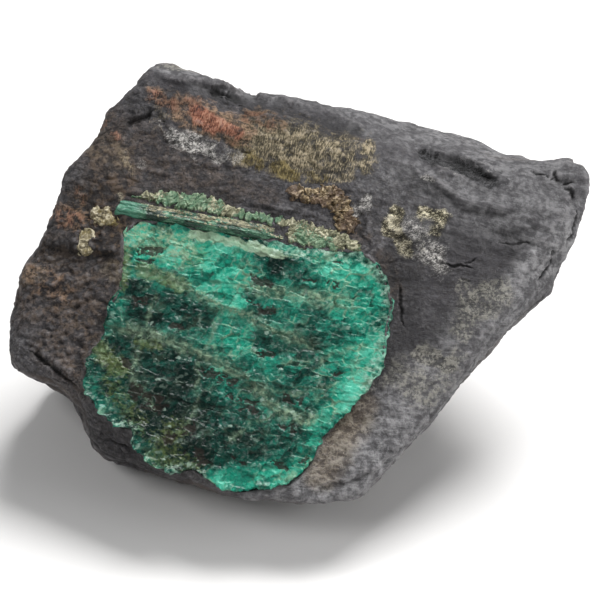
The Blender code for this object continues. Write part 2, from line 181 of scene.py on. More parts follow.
# Coloured marks on the stone, some of them painted light and shade: capsules, each with its two ends' x and
# y, radius and strength
STAINS = {
    "brown": [
        (-34, 31, -24, 28, 4, 0.4), (-34, 20, -22, 22, 3, 0.3), (-45.5, 30, -37.9, 32, 5, 0.6),
        (-36, 27, -35, 20, 5, 0.8), (-41, 17, -34.5, 10, 5, 1), (-48, 4, -38, -2, 9, 0.65),
        (-44, -8, -40, -12, 6, 0.6), (-27, 25, -14, 22, 4, 0.45), (-30, 22, -18, 20.5, 2.2, 0.3),
        (16, 8, 18, 2, 1.6, 0.4), (12, 12, 8, 14.6, 1.6, 0.5), (-16, 23, -6, 19.6, 2, 0.35),
    ],
    # Pale grey stone, and painted light as well: on the top strip behind the ridge, along the ridge lip, on
    # the crests of the flow bands and on the right strip
    "pale": [
        (36, 20, 52, 15, 8, 0.55), (34, 27.5, 50, 25, 3.6, 0.6), (14, 24, 30, 20, 4, 0.35),
        (19, 15, 26, 13, 3, 0.4), (24.5, -17, 16, -28, 7, 0.9), (16, -28, 4, -36, 6, 1),
        (34, -4, 26, -15, 5, 0.5), (46, 20, 54, 22, 6, 0.5), (36, 22, 46, 16, 4.5, 0.35),
        (10, 33, 30, 27.6, 2, 0.4), (50, 12, 38, -2, 3.8, 1), (-8, -38, 8, -38, 2.6, 0.7),
        (38, -4, 24, -22, 3, 0.7), (20, 26, 28, 22.6, 1.2, 0.5), (30, 19.6, 42, 17.6, 1.4, 0.5),
        (-20, 41, 8, 36, 1.6, 0.4), (8, 35.6, 22, 31.4, 1.8, 0.6), (22, 31.4, 38, 28, 2.2, 0.7),
        (-27, 44.4, -7, 39.8, 1.1, 0.7), (24.6, 24, 30.5, 18.6, 0.8, 0.6), (52, 24, 56, 17, 3, 0.5),
    ],
    "ochre_wash": [
        (9.8, -22.7, 4.2, -32.2, 3.4, 0.9), (12.6, -20, 9, -27, 2.2, 0.7), (3, -33, 8, -30, 2.2, 0.7),
        (-36, 6.1, -34.1, 4.9, 1.8, 0.6), (-51.1, 4.5, -49.6, 4.9, 1.6, 0.5), (-38, 30, -35, 27, 3, 0.3),
    ],
    "buff": [
        (-26, 44.8, -8, 40.4, 0.9, 0.6), (37.4, 1.2, 32.6, -1.4, 3.2, 0.8),
        (32.6, -1.4, 31, -5.4, 2.6, 0.7), (31, 2.4, 34, 1, 1.6, 0.5), (22.8, -10, 28, -12.2, 2, 0.9),
        (18.9, -14.2, 24.2, -17.4, 3.2, 0.6), (30, -11, 26, -16, 2.2, 0.45),
        (13.6, -16.4, 16.4, -14.6, 1.2, 0.6),
    ],
    "olive": [
        (-26, 36.6, -14, 31.6, 2.6, 0.5), (-16, 33.4, -8.5, 31, 3, 0.65), (-8.5, 31, 1, 28.8, 4.6, 0.9),
        (1, 28.8, 8, 27.8, 4, 0.75), (8, 27.8, 12.6, 26.6, 2.8, 0.5), (-11, 27.4, 8, 24.4, 2.6, 0.7),
        (13, 29.4, 12.6, 24.6, 1.3, 0.8), (-27, 33.6, -20, 32, 2, 0.3),
        (-33.5, 27.5, -32.2, 24.5, 1.2, 0.35),
    ],
    "ochre": [
        (-10, 26.8, -7.6, 25.6, 1.4, 0.75), (-4.2, 25, -1.4, 23.6, 1.6, 0.9),
        (-12, 30, -9, 27.4, 1.5, 0.45), (2, 23.6, 5, 22.8, 1.1, 0.5), (-9.4, 30, -7.6, 28, 1.1, 0.35),
        (9, 25, 12, 24, 1.1, 0.3),
    ],
    "rust_wash": [
        (-22, 36, -11, 31.8, 3.2, 0.75), (-27.6, 38.6, -22, 37, 2.2, 0.6),
        (-10, 34.8, -4, 33.4, 1.8, 0.6), (-46, 17, -42, 15, 3, 0.4), (-50, 5, -46, 2, 3, 0.4),
    ],
    "rust": [
        (-20, 35.6, -15.8, 33.2, 1.9, 0.9), (-27.4, 38.6, -24.6, 37, 1.6, 0.5),
        (-14.6, 32.8, -12, 31.6, 1.3, 0.8), (-10, 34.8, -5.4, 33.8, 1.2, 0.4),
        (-24, 36.6, -20, 37.2, 1.8, 0.35), (-46, 16, -42.6, 14.8, 2.4, 0.35),
        (-21, 34, -13, 31.6, 2.6, 0.3), (-43, 21, -41, 19.6, 1.8, 0.3), (-37, 33, -34, 31, 1.6, 0.3),
    ],
    "white_flakes": [
        (-23.4, 31, -19, 29.4, 2.2, 0.65), (-19.4, 29.6, -12, 27.4, 1.8, 0.5),
        (-23.8, 31.4, -21.8, 30, 1.2, 1.1), (20.6, 13.2, 25.8, 8.8, 2.8, 0.6),
        (22.4, 9, 26, 5.6, 2.2, 0.45), (10.6, 16.8, 12.9, 18.4, 1.2, 0.7),
        (26, 26.2, 36, 23.4, 1.6, 0.35), (-26, 33.4, -22.6, 31, 1.2, 0.4),
        (23.4, 23.3, 25.2, 22.5, 0.7, 0.6), (-31, 27, -30, 26, 1, 0.25),
    ],
    "gold_flakes": [
        (18.4, 16.5, 16.8, 13.8, 1.4, 0.95), (16.8, 14, 20, 9.8, 1.6, 0.95),
        (23.2, 16.5, 27, 15.6, 1.4, 0.85), (27, 15.4, 25.6, 12.8, 1.1, 0.75), (24, 12, 22, 9, 1.2, 0.3),
        (-34.2, 19.4, -32.6, 16.8, 0.8, 0.4),
    ],
    # Partly painted shade: under the ridge lip and the torn edge, in the ridge's hollow, under the left
    # overhang and on the low facets at the lower left. The rest is darker stone
    "dark": [
        (-45, 22, -38, 19, 4, 0.5), (-46, 13, -36, 11, 3, 0.4), (19.5, 9, 20.5, -4, 3.6, 0.8),
        (20.5, -4, 17, -13, 2.8, 0.8), (28, -3, 24, -6, 3.4, 0.7), (22, 22, 28, 20, 1.8, 0.7),
        (-16.8, 39.2, -10.8, 37.8, 1, 1), (-10, 35.8, 10, 31.4, 1.7, 0.8), (23.2, 27.4, 29, 25.8, 1, 1),
        (29, 25.8, 36.6, 22.6, 1.1, 1), (28, 12, 40, 10.4, 3, 0.45), (-30, 20.4, -16, 20, 1.8, 0.5),
        (-48, 9.4, -34, 7.6, 2.2, 0.9), (-33, -24, -23, -33, 3, 0.7), (24, 4.6, 36, 4.4, 2.4, 0.4),
        (-30, 36.6, -20, 38.4, 2.4, 0.6), (-34, -3, -38, -14, 4, 0.55),
        (-33.4, 33.2, -27, 35.8, 1.2, 0.7), (-14, 20, 14, 16, 3, 0.35), (-38, -20, -33, -24, 2.4, 0.7),
        (-40, -24, -26, -35, 5, 0.8),
    ],
    # The strip under the torn edge: mostly painted shade, with a few pale threads
    "torn": [
        (23.2, 27.4, 29, 25.6, 0.9, 1), (29, 25.6, 36.6, 22.4, 1.1, 1), (36, 22.6, 39, 22, 0.8, 0.6),
    ],
    "granular": [
        (-48, 4, -38, -2, 9.5, 1), (-44, -8, -40, -12, 7, 1), (-41, 17, -34.5, 10, 5, 0.8),
        (20.8, 12.9, 25.8, 8.6, 3, 0.8), (24, 26.4, 35, 24, 2.6, 0.9), (-23, 30.7, -12, 27.6, 2.6, 0.6),
        (-16, 33, 12, 27, 4.5, 0.45), (-28, 37, -12, 31, 3.4, 0.4), (17, 15, 20, 10, 2, 1),
        (23, 16, 27, 13, 1.8, 1),
    ],
    "silky": [
        (34, 14, 50, 18, 12, 1), (26, -4, 40, 8, 10, 0.8), (8, 34, 36, 26, 6, 0.8),
        (-26, 42.5, 4, 37, 2.6, 1), (30, 0, 24, -14, 7, 0.6), (20, -24, 8, -34, 6, 0.4),
    ],
}

# The emerald: pale veins as lines with a half width, then lighter and darker crystal
VEINS = [
    ([(-31, 6.2), (-25, 4.7), (-18.8, 0.9), (-4.4, -5.7), (3.8, -8.9)], 0.7),
    ([(-35.6, -5.1), (-27.7, -6.4), (-21.2, -9.1), (-16.1, -11.4), (-9.5, -15.2)], 0.7),
    ([(-9.5, -15.2), (-6.2, -19), (-3.8, -20.6), (0.2, -22.7), (4, -22)], 0.9),
    ([(-12.9, 3.4), (-2, 1.8), (10.2, 0.4)], 0.7),
    ([(-10, 1.6), (0, 0.2), (11, -1.6)], 0.4),
    ([(3.4, -11.6), (7.4, -9.5), (13.1, -8.3)], 0.4),
    ([(-3.8, -11.6), (2.3, -11.2)], 0.3),
    ([(-23.7, -25.6), (-19.7, -21.6), (-19, -10.5)], 0.3),
    ([(-14, -27.5), (-9.3, -23.5), (-4, -22)], 0.3),
    ([(-8.4, -16), (-2, -17.6), (8.5, -15.6)], 0.3),
    ([(-31, -9), (-31.5, -15), (-27, -21.5)], 0.5),
    ([(-14.5, -0.6), (-16.5, -6), (-18.6, -9.8)], 0.3),
    ([(-27, 2), (-29, -4), (-31, -9)], 0.3),
]
PLAIN_LIGHT = 0.42
LIGHT_AND_DARK = [
    (-30.5, 13.5, -25.5, 11.5, 3.6, 0.32), (-22, 6.8, -13.3, 0.4, 3.2, 0.26),
    (-21.2, 10.5, -10, 8, 2.8, 0.2), (0.8, 8.4, 9.1, 5.6, 2.6, 0.26), (9.5, 2.8, 15, -6, 4.2, 0.2),
    (14, -8.5, 9.5, -17.5, 3, 0.24), (9.5, -17.5, 2.5, -27, 3, 0.26), (0, -32, -14.2, -35, 2.6, 0.24),
    (-34, 1, -35, -6, 2, 0.16), (-12, -7, -6, -12, 2.6, 0.12), (-33, -7.6, -22.7, -13, 5, -0.3),
    (-23, -20, -8, -26, 6.2, -0.18), (-36, -14, -30, -20, 4, -0.22), (-7, -6.8, 2, -9.6, 2.4, -0.2),
    (-7, -13.5, 5, -17, 3.4, -0.12), (-8, 8.6, -0.5, 6.5, 2, -0.26), (-32, 1, -20, -3.5, 3.2, -0.2),
    (-29, -24, -22, -29, 4.2, -0.26), (3, -3, 8, -4.5, 2.6, -0.08), (-20, -24, -10, -30, 5, -0.12),
]
BLACK_MICA = [
    (-30.3, 9.8, -26.8, 9.8, 0.9), (-30.5, 7.6, -27.8, 7.4, 0.7), (-8.7, 4.2, -6.2, 3.6, 1.1),
    (0.6, 4.4, 2.6, 4.3, 0.6), (5.6, 3.6, 7.6, 3.4, 0.7), (-9.6, -0.2, -7.8, -0.5, 0.5),
    (-7.5, -1.9, -5.2, -1.3, 0.8), (-8, -10, -5.4, -10.1, 0.9), (-17.8, -13.4, -13, -15.3, 1.3),
    (-31.5, -17.6, -27.2, -19.8, 2.3), (-5.2, -30.8, -2.6, -32, 0.8), (-3.5, -23.6, -1.5, -24.6, 0.9),
    (-31.3, 0, -29.6, 0, 1.2), (-11, -20.6, -8, -21.2, 0.8), (-2.6, -18.4, 0.5, -18.9, 0.8),
    (-20.6, -29, -17.8, -31, 1.5), (-13.5, -18.2, -8.5, -19.6, 0.7), (6.2, 7.8, 8, 7.2, 0.4),
    (-25, -26.5, -20, -24, 1.4), (-24.4, -4.6, -22, -5, 0.7), (1.5, -29.5, 0.5, -31, 0.7),
    (-12.3, -30, -11, -31, 0.6), (5.5, -13.4, 8, -13.8, 0.6), (-33.6, -11.5, -32, -13, 1),
]
OLIVE_TINT = [
    (-33, 13, -20, 9.5, 3.6, 0.55), (-30, 6.2, -22.5, 3, 1.5, 0.8), (-38, -9.6, -34, -13, 2, 0.8),
    (-29, 11.6, -27, 11.2, 1.3, 0.5), (-31, -8, -27, -8.4, 1.2, 0.7), (-24, -25, -27, -30, 3, 0.6),
    (-33, 10, -33.4, 3, 1.2, 0.7), (-12, 2.8, 8, 0.6, 1.1, 0.3), (-36, -16, -30, -24, 2.4, 0.5),
    (-20, -32, -27, -28, 2.4, 0.5),
]
CREAM = [
    (-33, 13, -22, 10.5, 3, 0.5), (-20, 13, -4, 9.2, 0.95, 1), (-29, 14, -24, 13.2, 1, 0.5),
    (-3, 9.2, 9, 8.4, 0.5, 0.5), (-36.5, -8, -37.5, -12, 0.8, 0.4),
]
# How high the emerald steps up at each of its first four veins
EMERALD_STEPS = (0.35, 0.4, 0.2, 0.2)
# The emerald's blocks, coarse to fine: length and width, rise, lean and change of tone
BLOCKS = (((7, 5), 0.25, 0.5, 0.14), ((2.9, 2.6), 0.3, 0.9, 0.3), ((1.3, 1.2), 0.12, 0.35, 0.12),
          ((0.6, 0.6), 0.05, 0.1, 0.08))
# The emerald's two directions of parting on the face, and the middle that its rim spreads from
PARTING_ANGLES = (-14, 58)
EMERALD_MIDDLE = (-10, -10)
BERYL_IOR = 1.57


def smooth_step(value):
    value = np.clip(value, 0, 1)
    return value * value * (3 - 2 * value)


def tapered(share, rate, start=0.0):
    """Full along a line, and less toward its two ends."""
    return smooth_step(np.minimum(share, 1 - share) * rate + start)


def tilted_frame(tilt, turn=0, middle=FRONT_MIDDLE):
    """A frame whose third axis points out of the stone at a tilt and a turn to the side."""
    tilt, turn = math.radians(tilt), math.radians(turn)
    out = Vector((math.sin(turn) * math.cos(tilt), -math.cos(turn) * math.cos(tilt), math.sin(tilt)))
    along = Vector((math.cos(turn), math.sin(turn), 0))
    made = Matrix((along, out.cross(along), out)).transposed().to_4x4()
    made.translation = Vector(middle) * MM
    return made


FACE = tilted_frame(FRONT_TILT)
LEFT = tilted_frame(LEFT_TILT, LEFT_TURN, LEFT_MIDDLE)
VIEW = tilted_frame(CAMERA_TILT)
INLAYS = ((FACE, SEAM_OUTLINE), (FACE, PRISM_OUTLINE), (FACE, KNOT_OUTLINE), (LEFT, CLUMP_OUTLINE),
          (LEFT, LUMP_OUTLINE))
# Each crust: its solid, its face and outline, the size of its flakes, their rise, and its slot
CRUSTS = {
    "olive_seam": ("mica_seam", FACE, SEAM_OUTLINE, (1.3, 0.7), 0.45, "olive_mica"),
    "rusty_knot": ("mica_knot", FACE, KNOT_OUTLINE, (1.1, 0.6), 0.8, "rusty_mica"),
    "pale_clump": ("mica_clump", LEFT, CLUMP_OUTLINE, (1.0, 0.6), 0.5, "pale_mica"),
    "yellow_lump": ("mica_lump", LEFT, LUMP_OUTLINE, (0.9, 0.6), 0.4, "pale_mica"),
}
# The ways out of the front face and toward the camera
OUT = np.array(FACE.to_3x3().col[2])
TOWARD = np.array(VIEW.to_3x3().col[2])
# Turns a place on the face into steps along the emerald's two directions of parting
PARTING = np.linalg.inv([(math.cos(angle), math.sin(angle)) for angle in map(math.radians, PARTING_ANGLES)])


def into(made, places):
    """Places in the scene as mm in a frame."""
    return (places - np.array(made.translation)) @ np.array(made.to_3x3()) / MM


def out_of(made, points):
    """Points in mm in a frame as places in the scene."""
    return (points * MM) @ np.array(made.to_3x3()).T + np.array(made.translation)


def seen(places):
    """Where the camera sees each place, in mm from the middle of its view."""
    local = into(VIEW, places)
    return local[:, :2] * (CAMERA_DISTANCE / (CAMERA_DISTANCE - local[:, 2]))[:, None]


def coordinates(mesh, what="co"):
    found = np.zeros(len(mesh.vertices) * 3, np.float32)
    mesh.vertices.foreach_get(what, found)
    return found.reshape(-1, 3).astype(float)


def normals(mesh):
    return coordinates(mesh, "normal")


def set_coordinates(mesh, places):
    mesh.vertices.foreach_set("co", places.astype(np.float32).ravel())
    mesh.update()


def paint(mesh, **values):
    """Writes values for each point of the mesh, by name, for its material to read."""
    for name, amounts in values.items():
        layer = mesh.attributes.new(name, "FLOAT", "POINT")
        layer.data.foreach_set("value", np.asarray(amounts, np.float32))


def flat(xy, z=0.0):
    return np.column_stack((xy, np.full(len(xy), z)))


def plain_noise(points):
    return np.array([noise.noise(Vector(p)) for p in points.tolist()])


def fractal(points, size, octaves, seed):
    """Fractal noise, about -1 to 1. size is one length in mm, or one for each axis."""
    points = flat(points) if points.shape[1] == 2 else points
    scaled = points / np.array(size) + seed * 7.31
    return np.array([noise.fractal(Vector(p), 1.0, 2.0, octaves) for p in scaled.tolist()])


def creases(points, size, seed, width=0.22):
    """Sharp valleys between rounded lumps, 0 on the lumps and 1 in the valleys."""
    return np.clip(1 - np.abs(fractal(points, size, 2, seed)) / width, 0, 1)


def jittered(points, size, amount, seed):
    """Points moved about by noise, which gives what is laid on them a natural edge."""
    scaled = points / size + seed * 5.3
    return points + amount * np.array([noise.noise_vector(Vector(p)) for p in scaled.tolist()])


def ragged(points, coarse, fine, seed):
    """Places moved about twice, each time by noise of a size and an amount."""
    return jittered(jittered(points, *coarse, seed), *fine, seed + 1)[:, :2]


def cells(points, seed, metric="DISTANCE"):
    """For each point: its cell's random numbers, the way from its middle, and to its edge."""
    rows = []
    for p in points.tolist():
        distances, centres = noise.voronoi(Vector(p) + Vector((seed, seed, seed)), distance_metric=metric)
        first = noise.cell_vector(centres[0] * 9.7)
        rows.append((*first, *centres[0], distances[1] - distances[0]))
    found = np.array(rows)
    return found[:, :3], points + seed - found[:, 3:6], found[:, 6]


def line_distance(xy, line):
    """For each point: distance to an open line, its side, and its share along the line."""
    best = np.full(len(xy), 1e9)
    side = np.zeros(len(xy))
    place = np.zeros(len(xy))
    walked = 0.0
    for start, end in zip(line, line[1:]):
        start, end = np.array(start, float), np.array(end, float)
        along = end - start
        length = math.hypot(*along)
        share = np.clip(((xy - start) @ along) / length ** 2, 0, 1)
        away = xy - start - share[:, None] * along
        distance = np.hypot(away[:, 0], away[:, 1])
        nearer = distance < best
        best = np.where(nearer, distance, best)
        turn = along[0] * (xy[:, 1] - start[1]) - along[1] * (xy[:, 0] - start[0])
        side = np.where(nearer, np.sign(turn), side)
        place = np.where(nearer, walked + share * length, place)
        walked += length
    return best, side, place / walked


def capsules(xy, items, softness):
    """Strongest of several soft-edged capsules at each point."""
    found = np.zeros(len(xy))
    for x1, y1, x2, y2, radius, *strength in items:
        distance, _, _ = line_distance(xy, [(x1, y1), (x2, y2)])
        amount = smooth_step((1 - distance / radius) / (2 * softness) + 0.5)
        found = np.maximum(found, amount * (strength[0] if strength else 1.0))
    return found


def inside_distance(xy, outline):
    """Distance to a closed outline in mm, positive inside it."""
    distance, _, _ = line_distance(xy, outline + outline[:1])
    inside = np.zeros(len(xy), bool)
    for (x1, y1), (x2, y2) in zip(outline, outline[1:] + outline[:1]):
        crosses = (y1 > xy[:, 1]) != (y2 > xy[:, 1])
        reach = x1 + (xy[:, 1] - y1) * (x2 - x1) / ((y2 - y1) or 1e-9)
        inside ^= crosses & (xy[:, 0] < reach)
    return np.where(inside, distance, -distance)


def merged_copy(*nodes):
    """A fresh bmesh of the named solids, each with its triangles joined."""
    bm = bmesh.new()
    for name in nodes:
        bm.from_mesh(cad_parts[name].data)
    bmesh.ops.remove_doubles(bm, verts=bm.verts[:], dist=1e-6)
    return bm


def mesh_of(bm, name):
    mesh = bpy.data.meshes.new(name)
    bm.to_mesh(mesh)
    bm.free()
    return mesh


def linked(name, data):
    """A new object in the scene that shows a mesh, a light or a camera."""
    made = bpy.data.objects.new(name, data)
    bpy.context.scene.collection.objects.link(made)
    return made


def remeshed(bm, cell):
    """An even closed skin around the solids in bm, its largest part only."""
    obj = linked("skin", mesh_of(bm, "skin"))
    modifier = obj.modifiers.new("Skin", "REMESH")
    modifier.mode = "VOXEL"
    modifier.voxel_size = cell * MM
    depsgraph = bpy.context.evaluated_depsgraph_get()
    mesh = bpy.data.meshes.new_from_object(obj.evaluated_get(depsgraph))
    bpy.data.objects.remove(obj, do_unlink=True)
    skin = bmesh.new()
    skin.from_mesh(mesh)
    keep_largest(skin)
    return skin


def keep_largest(bm):
    """Deletes all but the largest of the separate parts."""
    left = set(bm.verts)
    parts = []
    while left:
        found = {left.pop()}
        part = set()
        while found:
            part |= found
            found = {edge.other_vert(vert) for vert in found for edge in vert.link_edges} & left
            left -= found
        parts.append(part)
    parts.sort(key=len)
    for part in parts[:-1]:
        bmesh.ops.delete(bm, geom=list(part), context="VERTS")


def smooth(bm, times):
    for _ in range(times):
        bmesh.ops.smooth_vert(bm, verts=bm.verts[:], factor=0.5, use_axis_x=True,
                              use_axis_y=True, use_axis_z=True)


def leaning(numbers, offset):
    """How far a tilted block or flake rises from its middle to each point."""
    return (numbers[:, 1] - 0.5) * offset[:, 0] + (numbers[:, 2] - 0.5) * offset[:, 1]


def split(bm, faces):
    """Parts each of the faces into four."""
    edges = {edge for face in faces for edge in face.edges}
    bmesh.ops.subdivide_edges(bm, edges=list(edges), cuts=1, use_grid_fill=True)


def bulge(mesh, rounds, scale):
    """How far the skin stands out (above 0.5) or sinks (below) against its surroundings."""
    pairs = np.zeros(len(mesh.edges) * 2, np.int64)
    mesh.edges.foreach_get("vertices", pairs)
    ends = pairs.reshape(-1, 2)
    total = len(mesh.vertices)
    here, there = np.concatenate((ends, ends[:, ::-1])).T
    count = np.bincount(here, minlength=total)[:, None]
    places = smoothed = coordinates(mesh)
    for _ in range(rounds):
        smoothed = np.column_stack([np.bincount(here, axis[there], total) for axis in smoothed.T]) / count
    height = np.einsum("ij,ij->i", places - smoothed, normals(mesh)) / MM
    return np.clip(0.5 + height / scale, 0, 1)


def finish_piece(name, mesh, slot, node, smooth_shaded=True):
    mesh.name = name
    mesh.materials.clear()
    mesh.materials.append(MATERIALS[slot])
    mesh.polygons.foreach_set("use_smooth", [smooth_shaded] * len(mesh.polygons))
    mesh.update()
    piece = linked(name, mesh)
    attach(piece, "root")
    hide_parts(node)


# Stone

def stone_skin():
    """The stone's skin with every inlay filled: finer where it is seen, finest at its cracks."""
    bm = remeshed(merged_copy(*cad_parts), STONE_CELL)
    smooth(bm, 2)
    bm.normal_update()
    faces, middles = facing_camera(bm)
    covered = inside_distance(into(FACE, middles)[:, :2], EMERALD_OUTLINE) > 2
    split(bm, [face for face, hidden in zip(faces, covered) if not hidden])
    smooth(bm, 1)
    faces, middles = facing_camera(bm)
    xy = seen(middles)
    near = np.zeros(len(xy), bool)
    for line, reach, *_ in [*CRACKS.values(), LEDGES["torn_edge"]]:
        near |= line_distance(xy, line)[0] < min(reach, 1) + NEAR_CRACK
    split(bm, [face for face, chosen in zip(faces, near) if chosen])
    bmesh.ops.triangulate(bm, faces=bm.faces[:])
    return mesh_of(bm, "stone")


def facing_camera(bm):
    """The faces that the camera can see, and their middles."""
    toward = Vector(TOWARD)
    faces = [face for face in bm.faces if face.normal.dot(toward) > 0.15]
    return faces, np.array([face.calc_center_median() for face in faces])


def layer_relief(points, side):
    """Edges of the foliation, which lies parallel to the front face, on the stone's sides."""
    level = points[:, 2] + 1.6 * fractal(points, 22, 2, 3)
    stretched = np.column_stack((level / 1.5, points[:, 0] / 24, points[:, 1] / 24))
    fine = plain_noise(stretched)
    steps = np.sign(fine) * np.abs(fine) ** 0.6
    return side * 0.3 * (steps + plain_noise(stretched * (0.33, 1, 1) + 9))


def flow_lines(xy):
    """Height of the lines that sweep over the front face, level at the left and right."""
    x, y = xy.T
    fall = 0.3 * (x - 4) * smooth_step((x - 6) / 16) - 0.006 * np.clip(x - 26, 0, None) ** 2
    return y + 0.12 * x + fall * smooth_step((y + 4) / 14) + 1.0 * fractal(xy, 15, 2, 5)


def flow_relief(xy, flow):
    """Low bands that sweep across the right of the front face to its tip."""
    x, y = xy.T
    share = smooth_step((x - 12) / 10) * smooth_step((y - 2) / 8)
    return (0.08 + 0.26 * share) * plain_noise(np.column_stack((flow / 1.9, x / 26, x * 0)))


def step_relief(xy):
    """The named ledges, crests and cracks, and the painted shade in each crack."""
    total = np.zeros(len(xy))
    for line, rise, width, reach in LEDGES.values():
        distance, side, share = line_distance(xy, line)
        signed = distance * side
        edge = smooth_step(signed / width + 0.5) - 0.5
        total += rise * edge * tapered(share, 6) * np.exp(-distance / reach)
    for line, height, reach in CRESTS.values():
        distance, _, share = line_distance(xy, line)
        total += height * tapered(share, 6) * np.exp(-distance / reach)
    crack = np.zeros(len(xy))
    pinch = 0.45 + 0.9 * smooth_step(0.5 + 2 * fractal(xy, 2.2, 2, 21))
    for line, width, depth in CRACKS.values():
        distance, _, share = line_distance(xy, line)
        distance = distance / pinch
        taper = tapered(share, 4)
        total -= depth * taper * np.clip(1 - distance / (width * (0.5 + taper)), 0, 1)
        # How much painted shade lies in the crack, for the schist to darken
        crack = np.maximum(crack, taper * min(depth, 1) * smooth_step(1.5 - distance / width))
    return total, crack


def grown_relief(points, side, facing, stains):
    """The stone's lumps, creases, crumbs and layers, deeper where it faces away."""
    rough = 1 - 0.65 * stains["silky"]
    relief = 0.24 * fractal(points, 6.5, 3, 1) - 0.26 * rough * creases(points, (7, 3.2, 3.2), 2)
    relief += rough * (0.14 * fractal(points, (2.2, 1.0, 1.0), 3, 2) + 0.09 * fractal(points, 0.8, 2, 7))
    relief += stains["granular"] * (0.26 * fractal(points, 1.3, 3, 4) - 0.2 * creases(points, 1.6, 5))
    relief += layer_relief(points, side) * (1.9 - 0.9 * facing)
    away = 0.5 * fractal(points, (16, 9, 5), 3, 8) - 0.35 * creases(points, (14, 9, 4), 9)
    return relief + (1 - facing) * away


def cleared(places, made, outline):
    """Lowers the skin's bulge over an inlay to the face; gives how far each place is covered."""
    local = into(made, places)
    inner = inside_distance(local[:, :2], outline)
    near = np.abs(local[:, 2]) < 5
    cover = near * smooth_step((inner + 0.1) / 0.8)
    lowered = np.minimum(local[:, 2], -INLAY_SINK * cover)
    local[:, 2] += near * smooth_step((inner + 1.8) / 0.6) * (lowered - local[:, 2])
    return out_of(made, local), cover


def pulled(places):
    """Draws out the corners and ridges that the skin's even cells round off."""
    xy = seen(places)
    shift = np.zeros((len(xy), 3))
    for place, way, radius in PULLS:
        distance = np.hypot(*(xy - np.array(place)).T)
        shift[:, :2] += np.exp(-(distance / radius) ** 2)[:, None] * np.array(way)
    return places + shift @ np.array(VIEW.to_3x3()).T * MM


def make_stone():
    mesh = stone_skin()
    places = coordinates(mesh)
    hidden = np.zeros(len(places))
    for made, outline in INLAYS:
        places, cover = cleared(places, made, outline)
        hidden = np.maximum(hidden, cover)
    places = pulled(places)
    set_coordinates(mesh, places)
    way = normals(mesh)
    points = into(FACE, places)
    facing = smooth_step((way @ TOWARD - 0.12) / 0.3)
    view = flat(seen(places))
    marked = ragged(view, (3.2, 0.9), (1.1, 0.4), 1)
    shown = smooth_step((way @ TOWARD + 0.1) / 0.25)
    stains = {name: capsules(marked, items, 0.5) * shown for name, items in STAINS.items()}
    flow = flow_lines(view[:, :2])
    steps, crack = step_relief(ragged(view, (1.6, 0.5), (0.5, 0.22), 3))
    relief = grown_relief(points, 1 - np.abs(way @ OUT), facing, stains)
    relief += (flow_relief(view[:, :2], flow) + steps) * facing
    relief *= smooth_step(places[:, 2] / MM / BASE_FADE)
    under = inside_distance(points[:, :2], EMERALD_OUTLINE)
    covered, beside = ((points[:, 2] > -8) * smooth_step((under + reach) / fade)
                       for reach, fade in ((0.35, 0.5), (1.9, 1.3)))
    relief = relief * (1 - np.maximum(covered, hidden)) * (1 - 0.8 * beside) - 0.15 * beside
    places = places + way * relief[:, None] * MM
    level = into(FACE, places)[:, 2]
    places -= OUT * (covered * np.clip(level + EMERALD_SINK, 0, None))[:, None] * MM
    places[:, 2] = np.maximum(places[:, 2], 0)
    set_coordinates(mesh, places)
    del stains["granular"]
    # The two bulges paint shade into sunken places and hollows and a highlight along raised edges; the
    # crack marks paint shade into the cracks
    paint(mesh, flow=flow, crack=crack * facing, away=1 - facing, wear=bulge(mesh, 5, 0.7),
          hollow=bulge(mesh, 30, 2.4), **stains)
    finish_piece("stone", mesh, "schist", "matrix_rock")


# Emerald

def block_lattice(xy, length, width, seed):
    """The emerald's slanted blocks: random numbers, the way from the middle, and the gap."""
    bent = jittered(flat(xy), length * 1.3, 0.16 * length, seed)[:, :2]
    steps = bent @ PARTING / (length, width)
    return cells(flat(steps, 0.5), seed, "CHEBYCHEV" if length > 2 else "DISTANCE")


def emerald_skin():
    """The crystal's skin, fine on its broken side."""
    bm = remeshed(merged_copy("emerald_crystal"), EMERALD_CELL)
    out = Vector(OUT)
    back = FACE.inverted()
    for _ in range(2):
        bm.normal_update()
        split(bm, [face for face in bm.faces
                   if face.normal.dot(out) > 0.4 and (back @ face.calc_center_median()).z / MM > -3])
    bmesh.ops.triangulate(bm, faces=bm.faces[:])
    return mesh_of(bm, "emerald")


def emerald_height(view, blocks):
    """The broken side's height over the stone's face, with its blocks and steps."""
    height = np.zeros(len(view))
    for (line, _), rise in zip(VEINS, EMERALD_STEPS):
        distance, side, _ = line_distance(view, line)
        height += rise * (smooth_step(distance * side / 0.7 + 0.5) - 0.5) * np.exp(-distance / 9)
    for (numbers, offset, _), (_, rise, lean, _) in zip(blocks, BLOCKS):
        height += rise * (numbers[:, 0] - 0.5)
        height += lean * leaning(numbers, offset)
    return height


